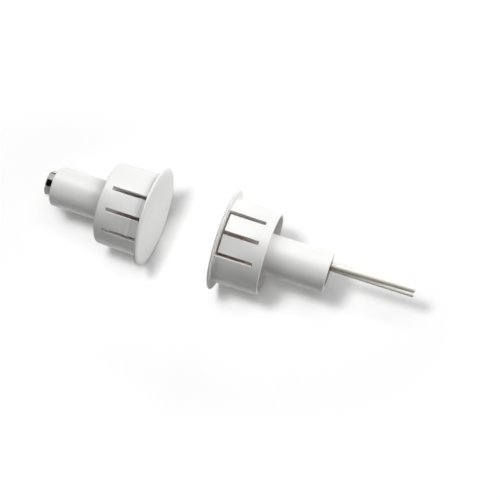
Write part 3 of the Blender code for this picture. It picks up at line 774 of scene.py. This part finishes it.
class DOORCONTACT_OT_capsules(bpy.types.Operator):
    """Make the two thin capsules that stand behind the adapters"""

    bl_idname = "door_contact.capsules"
    bl_label = "Capsules"

    def execute(self, context):
        form = shared_form(turned_form)
        finish = moulded_abs_white()
        values = {"Edge Rounding": CAPSULE_ROUNDING, "Steps": TURNED_STEPS, "Material": finish}
        radius = CAPSULE_HIGH.z
        bore = radius - sizes().capsule_wall
        front = CAPSULE_LOW.x
        floor = front + CAPSULE_FLOOR
        halves = (
            ("switch", CAPSULE_HIGH.x, None),
            ("magnet", -MAGNET_CAPSULE_LOW.x - FACE_GAP, magnet_side()),
        )
        for half, rear, place in halves:
            section = [(front, 0), (front, radius), (rear, radius), (rear, bore), (floor, bore), (floor, 0)]
            guide = [(x, 0, r) for x, r in section]
            mesh = grown_mesh(f"{half}_capsule_tube", form, guide, values, place)
            add_piece(mesh.name, mesh, f"{half}_half", finish, f"{half}_capsule")
        return {"FINISHED"}


class DOORCONTACT_OT_magnet(bpy.types.Operator):
    """Make the bright rod magnet that stands out of its capsule"""

    bl_idname = "door_contact.magnet"
    bl_label = "Rod Magnet"

    def execute(self, context):
        form = shared_form(turned_form)
        finish = bright_nickel_plate()
        values = {"Edge Rounding": ROD_ROUNDING, "Steps": TURNED_STEPS, "Material": finish}
        radius = ROD_HIGH.z
        guide = [(ROD_LOW.x, 0, 0), (ROD_LOW.x, 0, radius), (ROD_HIGH.x, 0, radius), (ROD_HIGH.x, 0, 0)]
        mesh = grown_mesh("rod_magnet_bar", form, guide, values)
        add_piece(mesh.name, mesh, "magnet_half", finish, "rod_magnet")
        return {"FINISHED"}


# Leads

# A lead's core is STRAND_COUNT strands round a middle one, that turn once in STRAND_LAY. Only the last
# STRAND_STATIONS points of its route have them, and they stand STRAND_PROUD out of the cut end.
STRAND_COUNT = 6
STRAND_SIDES = 12
STRAND_LAY = 12 * MM
STRAND_STATIONS = 6
STRAND_PROUD = 0.06 * MM


def smooth_route(points):
    """Points on a smooth curve through the given ones, which may be unevenly spaced."""
    gaps = [(end - start).length for start, end in zip(points, points[1:])]
    slopes = [(end - start) / gap for start, end, gap in zip(points, points[1:], gaps)]
    tangents = [slopes[0]]
    for before, after, slope_in, slope_out in zip(gaps, gaps[1:], slopes, slopes[1:]):
        tangents.append((slope_in * after + slope_out * before) / (before + after))
    tangents.append(slopes[-1])
    route = []
    for span, gap in enumerate(gaps):
        start, end = points[span], points[span + 1]
        for step in range(ROUTE_STEPS):
            t = step / ROUTE_STEPS
            route.append(
                start * (2 * t**3 - 3 * t**2 + 1)
                + tangents[span] * gap * (t**3 - 2 * t**2 + t)
                + end * (3 * t**2 - 2 * t**3)
                + tangents[span + 1] * gap * (t**3 - t**2)
            )
    return [*route, points[-1]]


def pair_point(distance, side):
    """Place of one lead of the pair at a distance behind the resin's face. side is 1 or -1."""
    share = min(1.0, max(0.0, distance / LEAD_REACH))
    middle_y = LEAD_SIDE + LEAD_DRIFT * share**1.5
    middle_z = LEAD_RISE - LEAD_SAG * share**2
    angle = PAIR_ANGLE_INSIDE + (PAIR_ANGLE_END - PAIR_ANGLE_INSIDE) * share
    spacing = sizes().lead_diameter * LEAD_SPACING
    offset = Vector((0, math.cos(angle), math.sin(angle))) * side * spacing / 2
    return Vector((RESIN_HIGH.x + distance, middle_y, middle_z)) + offset


def lead_points(side):
    """A lead's own route, from its buried end out to its cut end."""
    distances = [-LEAD_BURIED, -LEAD_BURIED / 2, *(LEAD_REACH * share for share in LEAD_STATIONS)]
    return smooth_route([pair_point(distance, side) for distance in distances])


def strand_form():
    """Geometry Nodes for a wire's core: one strand in the middle and Strand Count round it, swept along
    the guide as a bundle that turns once in each Lay Length."""
    tree, given = new_form(
        "strand_form",
        (
            ("Strand Diameter", "Float", sizes().strand_diameter),
            ("Strand Count", "Int", STRAND_COUNT),
            ("Lay Length", "Float", STRAND_LAY),
            ("Material", "Material", None),
        ),
    )
    guide = add_node(tree, "GeometryNodeMeshToCurve", {"Mesh": given["Geometry"]})
    along = add_node(tree, "GeometryNodeSplineParameter").outputs["Length"]
    turns = add_node(tree, "ShaderNodeMath", {0: along, 1: given["Lay Length"]}, operation="DIVIDE")
    tilt = add_node(tree, "ShaderNodeMath", {0: turns, 1: FULL_TURN}, operation="MULTIPLY")
    twisted = add_node(tree, "GeometryNodeSetCurveTilt", {"Curve": guide, "Tilt": tilt})
    diameter = given["Strand Diameter"]
    radius = add_node(tree, "ShaderNodeMath", {0: diameter, 1: 0.5}, operation="MULTIPLY")
    round_middle = {"Vertices": given["Strand Count"], "Radius": diameter}
    ring = add_node(tree, "GeometryNodeMeshCircle", round_middle, fill_type="NONE")
    middle = add_node(tree, "GeometryNodePoints", {"Count": 1})
    outer = add_node(tree, "GeometryNodeMeshToPoints", {"Mesh": ring}, mode="VERTICES")
    places = add_node(tree, "GeometryNodeJoinGeometry", {"Geometry": outer})
    tree.links.new(middle.outputs[0], places.inputs[0])
    outline = {"Resolution": STRAND_SIDES, "Radius": radius}
    strand = add_node(tree, "GeometryNodeCurvePrimitiveCircle", outline)
    bundle = add_node(tree, "GeometryNodeInstanceOnPoints", {"Points": places, "Instance": strand})
    profile = add_node(tree, "GeometryNodeRealizeInstances", {"Geometry": bundle})
    sweep = {"Curve": twisted, "Profile Curve": profile, "Fill Caps": True}
    end_form(tree, add_node(tree, "GeometryNodeCurveToMesh", sweep), given)
    return tree


class DOORCONTACT_OT_strands(bpy.types.Operator):
    """Make the tinned strands that show in the cut ends of both leads"""

    bl_idname = "door_contact.strands"
    bl_label = "Lead Strands"

    def execute(self, context):
        form = shared_form(strand_form)
        finish = tinned_copper_strand()
        values = {
            "Strand Diameter": sizes().strand_diameter,
            "Strand Count": STRAND_COUNT,
            "Lay Length": STRAND_LAY,
            "Material": finish,
        }
        for name, side in (("upper", 1), ("lower", -1)):
            points = lead_points(side)[-STRAND_STATIONS:]
            outwards = (points[-1] - points[-2]).normalized()
            guide = [*points, points[-1] + outwards * STRAND_PROUD]
            mesh = grown_mesh(f"{name}_lead_strands", form, guide, values)
            add_piece(mesh.name, mesh, "switch_half", finish)
        return {"FINISHED"}


class DOORCONTACT_OT_leads(bpy.types.Operator):
    """Make the two wire leads, side by side"""

    bl_idname = "door_contact.leads"
    bl_label = "Wire Leads"

    def execute(self, context):
        finish = extruded_pvc_cream()
        diameter = sizes().lead_diameter
        for name, side in (("upper_lead", 1), ("lower_lead", -1)):
            points = lead_points(side)
            curve = bpy.data.curves.new(f"{name}_wire", "CURVE")
            curve.dimensions = "3D"
            curve.bevel_depth = diameter / 2
            curve.bevel_resolution = 8
            curve.use_fill_caps = True
            spline = curve.splines.new("POLY")
            spline.points.add(len(points) - 1)
            for point, place in zip(spline.points, points):
                point.co = (*place, 1)
            spline.use_smooth = True
            piece = add_piece(curve.name, curve, "switch_half", finish, name)
        return {"FINISHED"}


class DOORCONTACT_OT_inner_finishes(bpy.types.Operator):
    """Give the resin and the sealed inner pieces their finishes"""

    bl_idname = "door_contact.inner_finishes"
    bl_label = "Inner Finishes"

    def execute(self, context):
        blade = drawn_metal("drawn_nickel_iron", "#B9B5AC", roughness=0.28, line_spacing=0.05 * MM)
        splice = drawn_metal("tin_plated_brass", "#CDCBC4", roughness=0.34, line_spacing=0.08 * MM)
        conductor = tinned_copper_strand()
        finishes = {
            "potting": cast_potting_resin(),
            "reed_glass": drawn_soda_glass(),
            "front_reed_blade": blade,
            "rear_reed_blade": blade,
            "front_splice": splice,
            "rear_splice": splice,
            "long_conductor": conductor,
            "short_conductor": conductor,
            "return_sleeve": soft_sleeve_pvc(),
        }
        for node, finish in finishes.items():
            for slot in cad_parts[node].material_slots:
                slot.material = finish
        return {"FINISHED"}


# Stage

# Soft boxes as name, turn and height in degrees, and light. Their balance is the photograph's: the key
# stands behind the switch half, and little comes from the viewer's side.
SOFTBOX_SIZE = 0.3
SOFTBOX_DISTANCE = 0.7
SOFTBOXES = (
    ("key_softbox", 45, 45, 0.532),
    ("low_key_softbox", 45, 20, 0.214),
    ("back_left_softbox", 135, 45, 0.179),
    ("high_back_softbox", 120, 68, 0.311),
    ("high_right_softbox", 0, 68, 0.173),
    ("front_fill_softbox", 225, 20, 0.126),
)

# The paper has lamps of its own: a small one near the camera and at its height, so that every piece throws
# the same short shadow to the lower right, and a large one overhead.
PAPER_LAMP_SHIFT = Vector((-103.9, 60.0, 0.0)) * MM
PAPER_LAMP_SIZE = 60 * MM
PAPER_LAMP_LIGHT = 0.53
PAPER_SKY_SIZE = 0.6
PAPER_SKY_LIGHT = 0.48
PAPER_SIZE = 6.0

# What the paper gives back to the halves, which is less than the camera sees of it
PAPER_BOUNCE = "#CBCBCB"

# The paper's own light, with four values for SPAN. The first grows with the distance from the small lamp's
# foot, as much as that lamp falls off. The second grows outside an oval that holds the halves and their
# shadows and is longer along X, so that the corners of the picture are as white as its middle.
PAPER_GLOW = (60 * MM, 400 * MM, 0.12, 0.75)
PAPER_RIM_GLOW = (42 * MM, 66 * MM, 0.0, 0.09)
PAPER_OVAL = (0.62, 1.0, 0.0)

# Cards round the halves that only reflections see, as the black and grey cards beside a table for small
# bright things. They put the photograph's bands into the rod. Each runs along X between two lines, given
# as (y, z) in metres, and shows one grey.
CARD_LENGTH = 1.2
CARDS = (
    ("low_card", (0.5, -0.015), (0.491, 0.095), "#2E2E2E"),
    ("light_card", (0.491, 0.095), (0.112, 0.487), "#D2D2D2"),
    ("dark_card", (0.112, 0.487), (-0.372, 0.335), "#0C0C0C"),
    ("grey_card", (-0.372, 0.335), (-0.5, -0.013), "#8A8A8A"),
    # The card on the paper is painted shade: a grey sheet that stands in for the shaded paper beside the rod,
    # in its reflection
    ("floor_shade_card", (-0.5, -0.013), (-0.02, -0.0145), "#A0A0A0"),
)


def seen_directly(tree):
    """1 for rays from the camera and for those that reflect in or pass through a piece, otherwise 0."""
    path = add_node(tree, "ShaderNodeLightPath").outputs
    seen = path["Is Camera Ray"]
    for ray in ("Is Glossy Ray", "Is Transmission Ray"):
        seen = add_node(tree, "ShaderNodeMath", {0: seen, 1: path[ray]}, operation="MAXIMUM")
    return seen


def matt_sweep_paper():
    """White paper sweep. The camera sees it a little whiter than it lights the halves, so that it burns
    out to white where nothing shades it, and it keeps their shadow."""
    made, tree = emptied(bpy.data.materials, "matt_sweep_paper")
    seen = seen_directly(tree)
    tones = {MIX_A: (*srgb(PAPER_BOUNCE), 1), MIX_B: (*colours().floor_white, 1)}
    tint = add_node(tree, "ShaderNodeMix", {"Factor": seen, **tones}, data_type="RGBA")
    diffuse = add_node(tree, "ShaderNodeBsdfDiffuse", {"Color": tint.outputs[MIX_RESULT]})
    place = add_node(tree, "ShaderNodeTexCoord").outputs["Object"]
    foot = CAMERA_PLACE + PAPER_LAMP_SHIFT
    foot.z = CAD_BOUNDS[0][2]
    away = add_node(tree, "ShaderNodeVectorMath", {0: place, 1: foot}, operation="DISTANCE")
    oval = add_node(tree, "ShaderNodeVectorMath", {0: place, 1: PAPER_OVAL}, operation="MULTIPLY")
    beside = add_node(tree, "ShaderNodeVectorMath", {0: oval}, operation="LENGTH")
    glows = []
    for distance, values in ((away, PAPER_GLOW), (beside, PAPER_RIM_GLOW)):
        inputs = {"Value": distance.outputs["Value"], **dict(zip(SPAN, values))}
        glows.append(add_node(tree, "ShaderNodeMapRange", inputs))
    both = add_node(tree, "ShaderNodeMath", {0: glows[0], 1: glows[1]}, operation="ADD")
    glow = add_node(tree, "ShaderNodeMath", {0: seen, 1: both}, operation="MULTIPLY")
    emission = add_node(tree, "ShaderNodeEmission", {"Strength": glow})
    paper = add_node(tree, "ShaderNodeAddShader", {0: diffuse, 1: emission})
    add_node(tree, "ShaderNodeOutputMaterial", {"Surface": paper})
    return made


def add_card(name, start, end, code):
    """A flat card that glossy rays alone see."""
    mesh = bpy.data.meshes.new(name)
    corners = [(side * CARD_LENGTH / 2, *line) for line in (start, end) for side in (-1, 1)]
    mesh.from_pydata(corners, [], [(0, 1, 3, 2)])
    made, tree = emptied(bpy.data.materials, f"{name}_paint")
    light = add_node(tree, "ShaderNodeEmission", {"Color": (*srgb(code), 1)})
    add_node(tree, "ShaderNodeOutputMaterial", {"Surface": light})
    mesh.materials.append(made)
    card = bpy.data.objects.new(name, mesh)
    bpy.context.scene.collection.objects.link(card)
    for ray in ("camera", "diffuse", "transmission", "volume_scatter", "shadow"):
        setattr(card, f"visible_{ray}", False)


def add_lamp(name, place, size, strength, lit):
    """A square lamp aimed at the halves, that lights the objects of the collection lit. strength is the
    light that it gives to a white surface facing it, as a share of full white."""
    lamp = bpy.data.lights.new(name, "AREA")
    lamp.shape = "SQUARE"
    lamp.size = size
    lamp.energy = strength * math.pi**2 * Vector(place).length_squared
    item = bpy.data.objects.new(name, lamp)
    bpy.context.scene.collection.objects.link(item)
    item.visible_camera = False
    item.light_linking.receiver_collection = lit
    item.location = place
    item.rotation_euler = (-Vector(place)).to_track_quat("-Z", "Y").to_euler()


def softbox_place(turn, height):
    """Where a soft box stands: turn is counted from +X round +Z, height up from the floor, in degrees."""
    turn, height = math.radians(turn), math.radians(height)
    flat = SOFTBOX_DISTANCE * math.cos(height)
    return (flat * math.cos(turn), flat * math.sin(turn), SOFTBOX_DISTANCE * math.sin(height))


def lit_by_lamp(name, paper, state):
    """Which objects a lamp lights: the paper alone with state INCLUDE, all but the paper with EXCLUDE."""
    lit = bpy.data.collections.new(name)
    lit.objects.link(paper)
    lit.collection_objects[0].light_linking.link_state = state
    return lit


class DOORCONTACT_OT_stage(bpy.types.Operator):
    """Set the floor, the lamps, the sky and the photograph's camera"""

    bl_idname = "door_contact.stage"
    bl_label = "Stage"

    def execute(self, context):
        scene = context.scene
        scene.view_settings.view_transform = "Standard"
        paper = self.add_floor()
        self.add_sky(scene)
        halves_only = lit_by_lamp("lit_halves", paper, "EXCLUDE")
        for name, turn, height, strength in SOFTBOXES:
            add_lamp(name, softbox_place(turn, height), SOFTBOX_SIZE, strength, halves_only)
        paper_only = lit_by_lamp("lit_paper", paper, "INCLUDE")
        place = CAMERA_PLACE + PAPER_LAMP_SHIFT
        add_lamp("paper_lamp", place, PAPER_LAMP_SIZE, PAPER_LAMP_LIGHT, paper_only)
        add_lamp("paper_sky", (0, 0, SOFTBOX_DISTANCE), PAPER_SKY_SIZE, PAPER_SKY_LIGHT, paper_only)
        for card in CARDS:
            add_card(*card)
        self.add_camera(scene)
        return {"FINISHED"}

    def add_floor(self):
        """The paper that the halves lie on."""
        mesh = bpy.data.meshes.new("sweep")
        half = PAPER_SIZE / 2
        height = CAD_BOUNDS[0][2]
        corners = [(-half, -half), (half, -half), (half, half), (-half, half)]
        mesh.from_pydata([(x, y, height) for x, y in corners], [], [(0, 1, 2, 3)])
        mesh.materials.append(matt_sweep_paper())
        floor = bpy.data.objects.new("sweep", mesh)
        bpy.context.scene.collection.objects.link(floor)
        return floor

    def add_sky(self, scene):
        """A sky that is seen white and gives no light."""
        scene.world, tree = emptied(bpy.data.worlds, "studio_sky")
        white = {"Color": (1, 1, 1, 1), "Strength": seen_directly(tree)}
        sky = add_node(tree, "ShaderNodeBackground", white)
        add_node(tree, "ShaderNodeOutputWorld", {"Surface": sky})

    def add_camera(self, scene):
        """The camera that took the photograph."""
        lens = bpy.data.cameras.new("photo_camera")
        lens.lens = CAMERA_LENS
        lens.sensor_width = CAMERA_SENSOR
        lens.clip_start = 0.01
        camera = bpy.data.objects.new("photo_camera", lens)
        scene.collection.objects.link(camera)
        back = CAMERA_RIGHT.cross(CAMERA_UP)
        turned = Matrix((CAMERA_RIGHT, CAMERA_UP, back)).transposed().to_4x4()
        camera.matrix_world = Matrix.Translation(CAMERA_PLACE) @ turned
        scene.camera = camera


class DOORCONTACT_PT_panel(bpy.types.Panel):
    """Sizes, colours and pieces of the door contact"""

    bl_idname = "DOORCONTACT_PT_panel"
    bl_label = "Door Contact"
    bl_space_type = "VIEW_3D"
    bl_region_type = "UI"
    bl_category = "Door Contact"

    def draw(self, context):
        layout = self.layout
        for group in (context.scene.door_contact_sizes, context.scene.door_contact_colours):
            box = layout.box()
            for name in group.__annotations__:
                box.prop(group, name)
        for operator in OPERATORS:
            layout.operator(operator.bl_idname)


OPERATORS = (
    DOORCONTACT_OT_stage,
    DOORCONTACT_OT_leads,
    DOORCONTACT_OT_strands,
    DOORCONTACT_OT_adapters,
    DOORCONTACT_OT_capsules,
    DOORCONTACT_OT_magnet,
    DOORCONTACT_OT_inner_finishes,
)
CLASSES = (DoorContactSizes, DoorContactColours, *OPERATORS, DOORCONTACT_PT_panel)


def register():
    for cls in CLASSES:
        bpy.utils.register_class(cls)
    bpy.types.Scene.door_contact_sizes = PointerProperty(type=DoorContactSizes)
    bpy.types.Scene.door_contact_colours = PointerProperty(type=DoorContactColours)


def unregister():
    del bpy.types.Scene.door_contact_colours
    del bpy.types.Scene.door_contact_sizes
    for cls in reversed(CLASSES):
        bpy.utils.unregister_class(cls)


def main():
    register()
    bpy.ops.door_contact.stage()
    bpy.ops.door_contact.leads()
    bpy.ops.door_contact.strands()
    bpy.ops.door_contact.adapters()
    bpy.ops.door_contact.capsules()
    bpy.ops.door_contact.magnet()
    bpy.ops.door_contact.inner_finishes()


if __name__ == "__main__":
    main()
